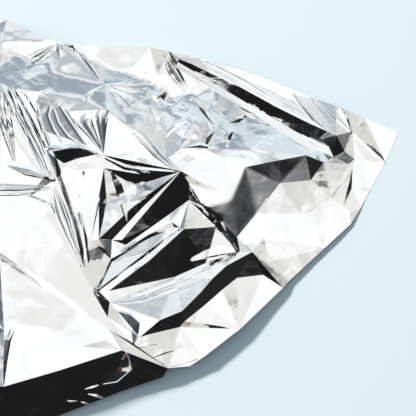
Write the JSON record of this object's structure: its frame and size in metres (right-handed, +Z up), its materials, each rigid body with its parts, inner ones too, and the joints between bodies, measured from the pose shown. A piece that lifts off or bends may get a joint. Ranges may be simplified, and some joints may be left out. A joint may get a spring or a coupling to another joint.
{
  "type": "emergency foil blanket",
  "caption": "Cut length of crumpled silver emergency foil sheet, lying flat at its corner and border and raised in sharp creases between.",
  "frame": {"origin": "middle of the bounding box, on the surface the sheet lies on", "axes": "+Z up from the surface, +X towards the sheet's flat corner, +Y towards its back edge"},
  "size_m": [0.6384, 0.6124, 0.0674],
  "materials": {
    "silver_film": "mirror-bright metallised film with sharp creases and fine wrinkles"
  },
  "bodies": {
    "root": {"foil_sheet": "silver_film"}
  },
  "joints": []
}
